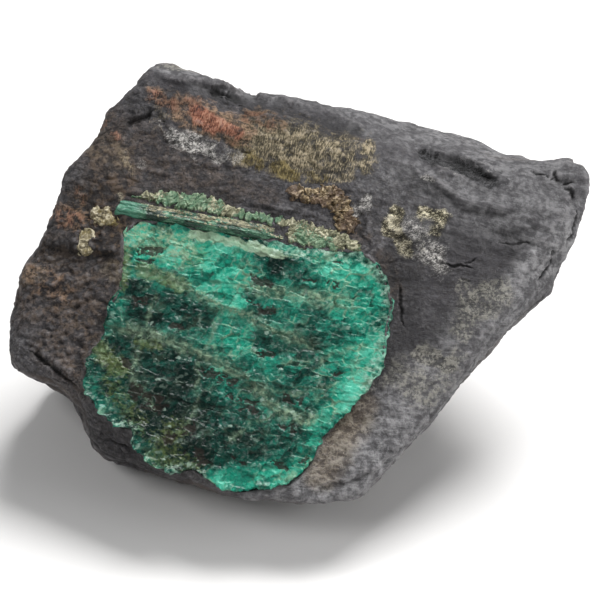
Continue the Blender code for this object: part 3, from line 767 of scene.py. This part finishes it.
def make_emerald():
    mesh = emerald_skin()
    points = into(FACE, coordinates(mesh))
    inner = inside_distance(points[:, :2], EMERALD_OUTLINE)
    upper = smooth_step((points[:, 2] + 2.6) / 1.6)
    outward = points[:, :2] - EMERALD_MIDDLE
    outward /= np.linalg.norm(outward, axis=1)[:, None]
    crumbs, _, _ = cells(flat(points[:, :2] / 0.9), 4)
    top_edge = smooth_step((points[:, 1] - 7) / 2)
    spread = 0.75 - 0.25 * top_edge + 0.7 * fractal(points[:, :2], 1.3, 3, 7)
    points[:, :2] += outward * (smooth_step(1 - inner / 1.8) * spread * upper)[:, None]
    xy = points[:, :2]
    blocks = [block_lattice(xy, *size, seed) for seed, (size, _, _, _) in enumerate(BLOCKS)]
    view = seen(out_of(FACE, points))
    marked = ragged(flat(view), (2.2, 0.7), (0.8, 0.35), 4)
    mica = capsules(marked, BLACK_MICA, 0.6)
    mica *= smooth_step((mica + 1.6 * fractal(marked, 1.0, 3, 11) - 0.45) / 0.3)
    height = emerald_height(view, blocks) + 0.03 * fractal(xy, 0.9, 2, 6)
    height += smooth_step(1 - inner / 1.3) * (1 - top_edge) * (0.6 * crumbs[:, 1] + 0.1)
    height -= 0.2 * mica
    points[:, 2] += upper * (height - points[:, 2])
    set_coordinates(mesh, out_of(FACE, points))
    paint_emerald(mesh, marked, inner, blocks, mica, upper)
    finish_piece("emerald", mesh, "emerald", "emerald_crystal")


def paint_emerald(mesh, xy, inner, blocks, mica, upper):
    """Writes the crystal's lights and darks, veins, stains and frosted rim on its mesh."""
    light = np.full(len(xy), PLAIN_LIGHT)
    for *capsule, amount in LIGHT_AND_DARK:
        light += amount * capsules(xy, [capsule], 0.7)
    for (numbers, _, _), (_, _, _, share) in zip(blocks, BLOCKS):
        light += share * (numbers[:, 1] - 0.5) * (0.6 + np.clip(light, 0, 1))
    light += 0.12 * fractal(xy, 0.7, 2, 12)
    veins = np.zeros(len(xy))
    for line, width in VEINS:
        distance, _, share = line_distance(xy, line)
        strength = tapered(share, 5, 0.3) * min(1, 0.15 + 1.1 * width)
        veins = np.maximum(veins, strength * np.exp(-(distance / (1.3 * width)) ** 1.6))
    veins *= 0.35 + 0.65 * smooth_step(0.6 + 2.4 * fractal(xy, 0.9, 3, 10))
    coarse, fine, dust = blocks[1], blocks[2], blocks[3][0]
    seams = smooth_step(0.3 + 2.4 * fractal(xy, 4, 3, 8)) * smooth_step(1.2 - coarse[2] / 0.11)
    hair_seams = smooth_step(0.2 + 2.4 * fractal(xy, 3, 3, 9)) * smooth_step(1.2 - fine[2] / 0.2)
    seams = np.maximum(seams, 0.4 * hair_seams) * (0.2 + smooth_step((light - 0.3) / 0.3))
    clusters = smooth_step(0.5 + 2 * fractal(xy, 3, 2, 13))
    x, y = xy.T
    right = smooth_step((x + 0.6 * y + 6) / 10)
    low_left = smooth_step((-x - 0.9 * y - 44) / 8)
    rim = smooth_step(1 - inner / 3.0) * np.maximum(right, 0.55 * low_left)
    glint = smooth_step((dust[:, 2] - 0.88) / 0.05) * (0.3 * clusters + rim)
    glint += 0.8 * smooth_step((dust[:, 0] - 0.994) / 0.003)
    paint(mesh, light=light * upper + 0.3 * (1 - upper), vein=veins * upper, seams=seams * upper,
          glint=np.clip(glint, 0, 1.6) * upper, frost=rim * (0.45 + 0.8 * dust[:, 1]) * upper,
          black_mica=mica, olive_tint=capsules(xy, OLIVE_TINT, 0.7), cream=capsules(xy, CREAM, 0.35))


# Prism and mica crusts

def make_prism():
    bm = merged_copy("emerald_prism")
    bmesh.ops.subdivide_edges(bm, edges=bm.edges[:], cuts=7, use_grid_fill=True)
    bmesh.ops.triangulate(bm, faces=bm.faces[:])
    mesh = mesh_of(bm, "prism")
    places = coordinates(mesh)
    points = into(FACE, places)
    x, y, z = points.T
    along = x * PRISM_WAY[0] + y * PRISM_WAY[1]
    across = y * PRISM_WAY[0] - x * PRISM_WAY[1]
    stripes = fractal(np.column_stack((along / 9, across * 2.2, z * 2.2)), 1.0, 2, 1)
    chips, _, _ = cells(np.column_stack((along / 2.2, across / 0.9, z / 0.9)), 2)
    relief = PRISM_GROWTH + 0.14 * stripes + 0.3 * (chips[:, 0] - 0.5) + 0.08 * fractal(points, 0.6, 2, 5)
    buried = smooth_step((along + 10) / 3.5)
    shift = normals(mesh) * relief[:, None] - OUT * PRISM_DIVE * buried[:, None]
    set_coordinates(mesh, places + shift * MM)
    end = smooth_step((-29.5 - x) / 2.2)
    top = smooth_step((across - 11.4 + 1.2 * stripes) / 0.7)
    notch = smooth_step(1.6 - np.abs(along + 30.2) / 1.1) * smooth_step((z + 0.4) / 0.6)
    paint(mesh, end_glow=end, crusted=top * (1 - end) * smooth_step(0.1 + 1.2 * chips[:, 1]),
          chip=chips[:, 2] - 2.2 * notch)
    finish_piece("prism", mesh, "prism_emerald", "emerald_prism", smooth_shaded=False)


def make_crust(name, node, made, outline, flake, rise, slot, seed):
    """A crumbly crust of mica that spreads over its face: tilted flakes with broken edges."""
    bm = remeshed(merged_copy(node), CRUST_CELL)
    smooth(bm, 1)
    mesh = mesh_of(bm, name)
    points = into(made, coordinates(mesh))
    way = normals(mesh) @ np.array(made.to_3x3())
    bent = jittered(points, 1.4, 0.5, seed)
    bent[:, 2] = 0
    flakes, offset, gap = cells(bent / (*flake, 1), seed)
    small, _, _ = cells(points / (0.6, 0.4, 0.4), seed + 3)
    curl = creases(bent / (*flake, 1), 0.9, seed, 0.2)
    spread = CRUST_GROWTH * (0.35 + flakes[:, 2] + 0.5 * small[:, 1])
    points[:, :2] += way[:, :2] * spread[:, None]
    height = 0.1 + 0.6 * rise * flakes[:, 0] + 0.22 * (small[:, 0] - 0.5) + 0.45 * rise * curl
    height += 0.9 * rise * leaning(flakes, offset)
    inner = inside_distance(points[:, :2], outline)
    height -= 1.1 * smooth_step(0.1 - inner / 0.5 + 1.8 * fractal(bent, 1.1, 3, seed + 5))
    upper = smooth_step((points[:, 2] + 0.5) / 0.7)
    points[:, 2] += upper * (height - points[:, 2])
    set_coordinates(mesh, out_of(made, points))
    paint(mesh, flake=0.3 * flakes[:, 1] + 0.3 * small[:, 2] + 0.5 * curl,
          gap=smooth_step(1 - gap / 0.1) * (1 - curl),
          tint=np.clip(0.5 + fractal(points, 4, 2, seed + 1), 0, 1))
    finish_piece(name, mesh, slot, node, smooth_shaded=False)


# Materials

class Sheet:
    """A node tree with short calls for the nodes that the materials here use."""

    def __init__(self, tree):
        self.tree = tree

    def put(self, socket, value):
        if isinstance(value, bpy.types.NodeSocket):
            self.tree.links.new(value, socket)
        else:
            socket.default_value = (*value, 1) if socket.type == "RGBA" else value

    def node(self, kind, inputs=(), **settings):
        made = self.tree.nodes.new(kind)
        for name, value in settings.items():
            setattr(made, name, value)
        for name, value in dict(inputs).items():
            self.put(made.inputs[name], value)
        return made

    def group(self, name, **inputs):
        return self.node("ShaderNodeGroup", inputs, node_tree=GROUPS[name]).outputs

    def grains(self, size):
        return self.group("grains", Place=self.place, Size=size)

    def feathered(self, amount, pattern):
        return self.group("feathered", Amount=amount, Pattern=pattern)["Mask"]

    def scatter(self, amount, chance):
        return self.group("scatter", Amount=amount, Chance=chance)["Mask"]

    def mark(self, name):
        """A value painted on the mesh."""
        return self.node("ShaderNodeAttribute", attribute_name=name).outputs["Fac"]

    def math(self, operation, a, b):
        return self.node("ShaderNodeMath", {0: a, 1: b}, operation=operation).outputs[0]

    def times(self, a, b):
        return self.math("MULTIPLY", a, b)

    def vector(self, operation, a, b):
        return self.node("ShaderNodeVectorMath", {0: a, 1: b}, operation=operation).outputs["Vector"]

    def blend(self, *parts, start=0.0):
        """A start value and more values, each with its share, added up."""
        for value, share in parts:
            start = self.math("ADD", start, self.times(value, share))
        return start

    def span(self, value, low, high, to_low=0.0, to_high=1.0):
        limits = {0: value, 1: low, 2: high, 3: to_low, 4: to_high}
        return self.node("ShaderNodeMapRange", limits).outputs[0]

    def mix(self, share, a, b, kind="MIX"):
        """Mixes colours, which a Mix node takes at its sockets 6 and 7 and gives at 2."""
        colours = {0: share, 6: a, 7: b}
        return self.node("ShaderNodeMix", colours, data_type="RGBA", blend_type=kind).outputs[2]

    def layered(self, colour, *layers):
        """A colour under others, each with its mask and how much of what lies below it hides."""
        for mask, share, other in layers:
            colour = self.mix(self.times(mask, share), colour, other)
        return colour

    def darker(self, colour, share):
        grey = self.node("ShaderNodeCombineColor", {0: share, 1: share, 2: share}).outputs[0]
        return self.mix(1.0, colour, grey, "MULTIPLY")

    def ramp(self, value, *stops):
        made = self.node("ShaderNodeValToRGB", {"Fac": value})
        elements = made.color_ramp.elements
        while len(elements) < len(stops):
            elements.new(0.5)
        for element, (place, colour) in zip(elements, stops):
            element.position = place
            element.color = (*colour, 1)
        return made.outputs["Color"]

    def noise(self, vector, size, detail, roughness, distortion=0.0):
        inputs = {"Scale": 1 / size, "Detail": detail, "Roughness": roughness, "Distortion": distortion}
        return self.node("ShaderNodeTexNoise", {"Vector": vector, **inputs}).outputs["Fac"]

    def laid(self, vector, lengths, angle=0):
        """The vector measured in these lengths, along axes turned on the face by an angle."""
        turn = (0, 0, math.radians(angle))
        return self.node("ShaderNodeMapping", {"Vector": vector, "Scale": lengths, "Rotation": turn},
                         vector_type="TEXTURE").outputs["Vector"]

    def finish(self, colour, roughness, height, constants=()):
        """Drives the shader with a colour, a roughness and a height in mm, and sets constants."""
        bump = self.node("ShaderNodeBump", {"Height": height, "Distance": MM, "Strength": 1.0})
        driven = {"Base Color": colour, "Roughness": roughness, "Normal": bump.outputs["Normal"]}
        for name, value in {**driven, **dict(constants)}.items():
            self.put(self.tree.nodes["Principled BSDF"].inputs[name], value)


GROUPS = {}


def new_group(name, inputs, outputs):
    """A shader node group; gives its sheet, inputs and output sockets. A Place is a vector."""
    tree = GROUPS[name] = bpy.data.node_groups.new(name, "ShaderNodeTree")
    for way, sockets in (("INPUT", inputs), ("OUTPUT", outputs)):
        for socket in sockets:
            kind = "NodeSocketVector" if socket == "Place" else "NodeSocketFloat"
            tree.interface.new_socket(socket, in_out=way, socket_type=kind)
    sheet = Sheet(tree)
    return sheet, sheet.node("NodeGroupInput").outputs, sheet.node("NodeGroupOutput").inputs


def face_space_group():
    """Object coordinates in mm, turned so that the third one crosses the foliation."""
    sheet, _, ends = new_group("face_space", (), ["Place"])
    place = sheet.node("ShaderNodeTexCoord").outputs["Object"]
    turn = (math.radians(FRONT_TILT - 90), 0, 0)
    turned = sheet.node("ShaderNodeMapping", {"Vector": place, "Scale": (1 / MM,) * 3, "Rotation": turn})
    sheet.put(ends["Place"], turned.outputs["Vector"])


def grains_group():
    """Mineral grains about Size mm across, with three random numbers for each."""
    sheet, start, ends = new_group("grains", ["Place", "Size"], ["Tone", "Chance", "Tint"])
    scale = sheet.math("DIVIDE", 1.0, start["Size"])
    scaled = sheet.node("ShaderNodeVectorMath", {0: start["Place"], "Scale": scale}, operation="SCALE")
    place = scaled.outputs["Vector"]
    wobble = sheet.node("ShaderNodeTexNoise", {"Vector": place, "Scale": 1.3, "Detail": 2.0})
    wobble = sheet.vector("SUBTRACT", wobble.outputs["Color"], (0.5,) * 3)
    wobble = sheet.vector("MULTIPLY", wobble, (1.6,) * 3)
    place = sheet.vector("ADD", place, wobble)
    grain = sheet.node("ShaderNodeTexVoronoi", {"Vector": place, "Scale": 1.0}).outputs["Color"]
    for number, end in zip(sheet.node("ShaderNodeSeparateColor", {"Color": grain}).outputs, ends):
        sheet.put(end, number)


def feathered_group():
    """Where a painted amount shows: whole in its middle, broken by a pattern at its edge."""
    sheet, start, ends = new_group("feathered", ["Amount", "Pattern"], ["Mask"])
    level = sheet.span(sheet.blend((start["Amount"], 1.0), (start["Pattern"], 1.9)), 1.3, 1.75)
    sheet.put(ends["Mask"], sheet.times(level, sheet.span(start["Amount"], 0.0, 0.12)))


def scatter_group():
    """Grains that take a colour where their chance is below the painted amount."""
    sheet, start, ends = new_group("scatter", ["Amount", "Chance"], ["Mask"])
    level = sheet.math("SUBTRACT", sheet.times(start["Amount"], 1.14), start["Chance"])
    sheet.put(ends["Mask"], sheet.span(level, 0.0, 0.14))


MATERIALS = {}


def new_material(slot):
    """The sheet of a slot's new material, with its place in mm."""
    material = MATERIALS[slot] = bpy.data.materials.new(slot)
    material.use_nodes = True
    sheet = Sheet(material.node_tree)
    sheet.place = sheet.group("face_space")["Place"]
    return sheet


# Colours of each mark, from its darkest grains to its lightest, then how opaque it is
STAIN_COLOURS = {
    "brown": ("soft", ((0.013, 0.008, 0.005), (0.05, 0.029, 0.015), (0.12, 0.075, 0.04)), 0.85),
    # Pale stone, partly painted light on the top strip, the ridge lip and the crests
    "pale": ("silk", ((0.105, 0.103, 0.107), (0.195, 0.192, 0.197), (0.31, 0.306, 0.31)), 0.9),
    "ochre_wash": ("soft", ((0.08, 0.055, 0.03), (0.17, 0.13, 0.085), (0.26, 0.22, 0.16)), 0.8),
    "buff": ("fine", ((0.04, 0.039, 0.036), (0.105, 0.1, 0.088), (0.24, 0.23, 0.195)), 0.75),
    "olive": ("strokes", ((0.03, 0.025, 0.015), (0.13, 0.108, 0.062), (0.42, 0.35, 0.235)), 0.92),
    "ochre": ("strokes", ((0.05, 0.038, 0.01), (0.15, 0.11, 0.028), (0.34, 0.27, 0.1)), 0.75),
    "rust_wash": ("fine", ((0.035, 0.022, 0.015), (0.14, 0.08, 0.048), (0.3, 0.19, 0.12)), 0.75),
    "rust": ("strokes", ((0.075, 0.024, 0.015), (0.3, 0.098, 0.055), (0.52, 0.27, 0.18)), 0.9),
    "white_flakes": ("threads", ((0.02, 0.019, 0.018), (0.13, 0.125, 0.118), (0.75, 0.72, 0.68)), 0.95),
    "gold_flakes": ("threads", ((0.008, 0.006, 0.004), (0.11, 0.095, 0.05), (0.85, 0.78, 0.58)), 1.0),
    # The torn strip's near-black is painted shade
    "torn": ("threads", ((0.004, 0.004, 0.005), (0.016, 0.016, 0.017), (0.2, 0.2, 0.21)), 0.85),
}
STAIN_STOPS = (0.3, 0.5, 0.72)


def schist_look():
    sheet = new_material("schist")
    place = sheet.place
    fine, coarse = sheet.grains(0.38), sheet.grains(1.3)
    bent = sheet.times(sheet.noise(place, 16, 2, 0.5), 3.0)
    bent = sheet.vector("ADD", place, sheet.node("ShaderNodeCombineXYZ", {"Z": bent}).outputs[0])
    layers = sheet.noise(sheet.laid(bent, (14, 14, 1)), 0.9, 4, 0.65)
    cloud = sheet.noise(place, 1.2, 5, 0.7)
    broad = sheet.noise(place, 11, 3, 0.6, 0.4)
    mottle = sheet.noise(place, 2.4, 4, 0.62, 0.3)
    across = sheet.node("ShaderNodeSeparateXYZ", {"Vector": place}).outputs["X"]
    swept = sheet.node("ShaderNodeCombineXYZ", {"X": sheet.times(sheet.mark("flow"), 2.2),
                                                "Y": sheet.times(across, 0.2)}).outputs[0]
    silk = sheet.noise(swept, 1.0, 5, 0.65)
    grainy = sheet.span(sheet.mark("silky"), 0, 1, 1.0, 0.4)
    grain = sheet.times(fine["Tone"], grainy)
    tone = sheet.blend((grain, 0.28), (coarse["Tone"], 0.07), (cloud, 0.46), (layers, 0.16), (silk, 0.2),
                       (broad, 0.26), start=0.015)
    colour = sheet.ramp(tone, (0.42, (0.012, 0.011, 0.013)), (0.6, (0.036, 0.034, 0.038)),
                        (0.78, (0.068, 0.065, 0.07)), (1.0, (0.16, 0.155, 0.16)))
    # Pale mica grains, made lighter as painted glints, and smoother
    bright = sheet.scatter(0.035, fine["Chance"])
    weathered = sheet.times(sheet.mark("away"), sheet.span(broad, 0.46, 0.6))
    colour = sheet.layered(
        colour,
        (sheet.times(sheet.span(fine["Tint"], 0.6, 0.8), grainy), 0.3, (0.052, 0.042, 0.03)),
        (weathered, 0.55, (0.085, 0.062, 0.046)),
        (bright, 0.6, (0.28, 0.27, 0.27)))
    patterns = {
        "fine": sheet.blend((cloud, 0.6), (fine["Tone"], 0.2), (sheet.noise(place, 0.5, 3, 0.7), 0.25)),
        "soft": sheet.blend((cloud, 0.5), (fine["Tone"], 0.15), (mottle, 0.35)),
        "silk": sheet.blend((silk, 0.3), (cloud, 0.4), (mottle, 0.3)),
        "strokes": sheet.noise(sheet.laid(place, (1.5, 0.34, 1), 74), 0.7, 5, 0.72, 0.25),
        "threads": sheet.noise(sheet.laid(place, (0.9, 0.4, 1), 20), 0.5, 4, 0.75, 1.2),
    }
    relief = []
    for name, (kind, colours, opacity) in STAIN_COLOURS.items():
        pattern, amount = patterns[kind], sheet.mark(name)
        if kind in ("silk", "soft"):
            mask = sheet.times(amount, sheet.span(pattern, 0.35, 0.65, 0.6, 1.0))
        else:
            mask = sheet.feathered(amount, sheet.blend((pattern, 0.5), (mottle, 0.8), start=-0.15))
        if kind in ("strokes", "threads"):
            relief.append((sheet.times(mask, pattern), 0.24))
        shade = sheet.blend((pattern, 1.8), (fine["Tone"], 0.16), (cloud, 0.3), (mottle, 1.0), start=-1.13)
        colour = sheet.layered(colour, (mask, opacity, sheet.ramp(shade, *zip(STAIN_STOPS, colours))))
    # Painted shade: darker where the skin sinks, in its hollows and in its cracks, and under the dark
    # marks, which hold painted shadows as well as darker stone
    wear = sheet.mark("wear")
    for amount, limits in ((wear, (0, 0.5, 0.35, 1)), (sheet.mark("hollow"), (0.1, 0.5, 0.6, 1)),
                           (sheet.mark("dark"), (0, 1, 1, 0.5)), (sheet.mark("crack"), (0, 1, 1, 0.3))):
        colour = sheet.darker(colour, sheet.span(amount, *limits))
    # A painted highlight along raised edges and crests
    crest_highlight = sheet.times(sheet.span(wear, 0.55, 0.9), sheet.span(cloud, 0.35, 0.6))
    colour = sheet.layered(colour, (crest_highlight, 0.6, (0.22, 0.21, 0.215)))
    rough = sheet.math("SUBTRACT", sheet.span(cloud, 0.3, 0.7, 0.55, 0.85), sheet.times(bright, 0.3))
    height = sheet.blend((sheet.times(cloud, grainy), 0.65), (layers, 0.25), (silk, 0.12), (mottle, 0.3),
                         (grain, 0.11), *relief)
    sheet.finish(colour, rough, height, {"Specular IOR Level": 0.28})


def emerald_look():
    sheet = new_material("emerald")
    fine = sheet.grains(0.3)
    angle = PARTING_ANGLES[0]
    smears = sheet.noise(sheet.laid(sheet.place, (1.15, 0.9, 1), angle), 0.8, 5, 0.7, 0.3)
    flecks = sheet.noise(sheet.laid(sheet.place, (1.5, 0.7, 1), angle), 0.7, 4, 0.75)
    cloud = sheet.noise(sheet.place, 1.6, 4, 0.65)
    tone = sheet.blend((sheet.mark("light"), 1.0), (smears, 0.28), (cloud, 0.22), (fine["Tone"], 0.05),
                       start=-0.275)
    colour = sheet.ramp(tone, (0.09, (0.002, 0.013, 0.01)), (0.31, (0.004, 0.055, 0.039)),
                        (0.46, (0.009, 0.124, 0.085)), (0.66, (0.009, 0.23, 0.149)),
                        (0.95, (0.075, 0.42, 0.295)))
    vein = sheet.times(sheet.mark("vein"), sheet.span(smears, 0.38, 0.54, 0.4, 1.6))
    pale = sheet.math("MAXIMUM", vein, sheet.times(sheet.mark("seams"), 0.8))
    black = sheet.blend((sheet.mark("black_mica"), 0.42), (flecks, 1.0), (fine["Chance"], 0.08))
    black = sheet.span(black, 0.8, 0.86)
    colour = sheet.layered(
        colour,
        (sheet.feathered(sheet.mark("olive_tint"), smears), 0.5, (0.14, 0.18, 0.06)),
        (pale, 0.62, (0.24, 0.34, 0.225)),
        (sheet.feathered(sheet.mark("cream"), smears), 0.7, (0.3, 0.4, 0.27)),
        (sheet.feathered(sheet.times(sheet.mark("frost"), 0.75), smears), 0.6, (0.27, 0.46, 0.35)),
        (sheet.mark("glint"), 0.5, (0.45, 0.6, 0.5)),
        (black, 0.85, (0.02, 0.016, 0.013)))
    rough = sheet.blend((fine["Tone"], 0.15), (pale, 0.2), (black, 0.25), (smears, 0.2), start=0.06)
    sheet.finish(colour, rough, sheet.blend((smears, 0.12), (fine["Tone"], 0.02)), {
        "IOR": BERYL_IOR, "Specular IOR Level": 0.08, "Coat Weight": 0.22, "Coat Roughness": 0.1})


def prism_look():
    sheet = new_material("prism_emerald")
    fine = sheet.grains(0.3)
    stripes = sheet.noise(sheet.laid(sheet.place, (6, 0.5, 0.5), -10), 1.0, 4, 0.6)
    tone = sheet.blend((stripes, 0.6), (sheet.mark("chip"), 0.3), (fine["Tone"], 0.15))
    colour = sheet.ramp(tone, (0.34, (0.008, 0.03, 0.018)), (0.55, (0.028, 0.11, 0.062)),
                        (0.8, (0.13, 0.29, 0.175)))
    crust = sheet.scatter(sheet.mark("crusted"), fine["Chance"])
    crumbs = sheet.ramp(fine["Tone"], (0.1, (0.05, 0.05, 0.025)), (0.5, (0.18, 0.165, 0.09)),
                        (0.9, (0.42, 0.38, 0.25)))
    colour = sheet.layered(colour, (sheet.mark("end_glow"), 0.6, (0.07, 0.26, 0.17)), (crust, 0.9, crumbs))
    sheet.finish(colour, sheet.blend((crust, 0.4), start=0.2),
                 sheet.blend((stripes, 0.3), (fine["Tone"], 0.06)), {"IOR": BERYL_IOR})


# Mica: its dark, middle and bright flakes, and a second tint that lies on it in patches
MICAS = {
    "olive_mica": ((0.05, 0.052, 0.028), (0.22, 0.22, 0.13), (0.62, 0.58, 0.42), (0.07, 0.23, 0.13)),
    "rusty_mica": ((0.01, 0.007, 0.004), (0.15, 0.1, 0.045), (0.62, 0.5, 0.32), (0.15, 0.1, 0.075)),
    "pale_mica": ((0.05, 0.04, 0.02), (0.26, 0.22, 0.13), (0.66, 0.6, 0.44), (0.22, 0.17, 0.05)),
}


def mica_look(slot, dark, middle, bright, second):
    """Crumbly mica: each flake its own tone, dark gaps, and the second tint in patches."""
    sheet = new_material(slot)
    fine = sheet.grains(0.28)
    cloud = sheet.noise(sheet.place, 0.8, 4, 0.65)
    tone = sheet.blend((sheet.mark("flake"), 0.55), (fine["Tone"], 0.25), (cloud, 0.5))
    colour = sheet.ramp(tone, (0.34, dark), (0.6, middle), (0.9, bright))
    tint = sheet.scatter(sheet.mark("tint"), sheet.blend((fine["Chance"], 0.5), (cloud, 0.5)))
    colour = sheet.layered(colour, (tint, 0.6, second))
    colour = sheet.darker(colour, sheet.span(sheet.mark("gap"), 0, 1, 1.0, 0.6))
    sheet.finish(colour, sheet.span(fine["Tint"], 0, 1, 0.3, 0.7),
                 sheet.blend((fine["Tone"], 0.08), (cloud, 0.2)))


# Studio

def make_floor():
    bm = bmesh.new()
    bmesh.ops.create_grid(bm, x_segments=1, y_segments=1, size=FLOOR_HALF)
    floor = linked("floor", mesh_of(bm, "floor"))
    material = bpy.data.materials.new("floor")
    material.use_nodes = True
    shader = material.node_tree.nodes["Principled BSDF"]
    shader.inputs["Base Color"].default_value = FLOOR_COLOUR
    shader.inputs["Roughness"].default_value = FLOOR_ROUGHNESS
    floor.data.materials.append(material)


def aim(thing, place, target):
    thing.location = place
    thing.rotation_euler = (Vector(target) - thing.location).to_track_quat("-Z", "Y").to_euler()


def make_studio():
    make_floor()
    for name, (place, size, power) in LIGHTS.items():
        data = bpy.data.lights.new(name, "AREA")
        data.shape = "RECTANGLE"
        data.size, data.size_y = size
        data.energy = power
        aim(linked(name, data), place, LIT_PLACE)
    world = bpy.data.worlds.new("studio")
    world.use_nodes = True
    sky = world.node_tree.nodes["Background"]
    sky.inputs["Color"].default_value = SKY_COLOUR
    sky.inputs["Strength"].default_value = SKY_STRENGTH
    bpy.context.scene.world = world
    bpy.context.scene.view_settings.view_transform = "Standard"


def make_camera():
    data = bpy.data.cameras.new("camera")
    data.lens = CAMERA_LENS
    data.sensor_width = SENSOR
    data.clip_start, data.clip_end = CAMERA_CLIP
    camera = linked("camera", data)
    target = Vector(FRONT_MIDDLE) * MM
    aim(camera, target + Vector(TOWARD) * CAMERA_DISTANCE * MM, target)
    bpy.context.scene.camera = camera


make_camera()
make_studio()
face_space_group()
grains_group()
feathered_group()
scatter_group()
schist_look()
emerald_look()
prism_look()
for slot, colours in MICAS.items():
    mica_look(slot, *colours)
make_stone()
make_emerald()
make_prism()
for seed, (name, settings) in enumerate(CRUSTS.items(), 1):
    make_crust(name, *settings, seed)
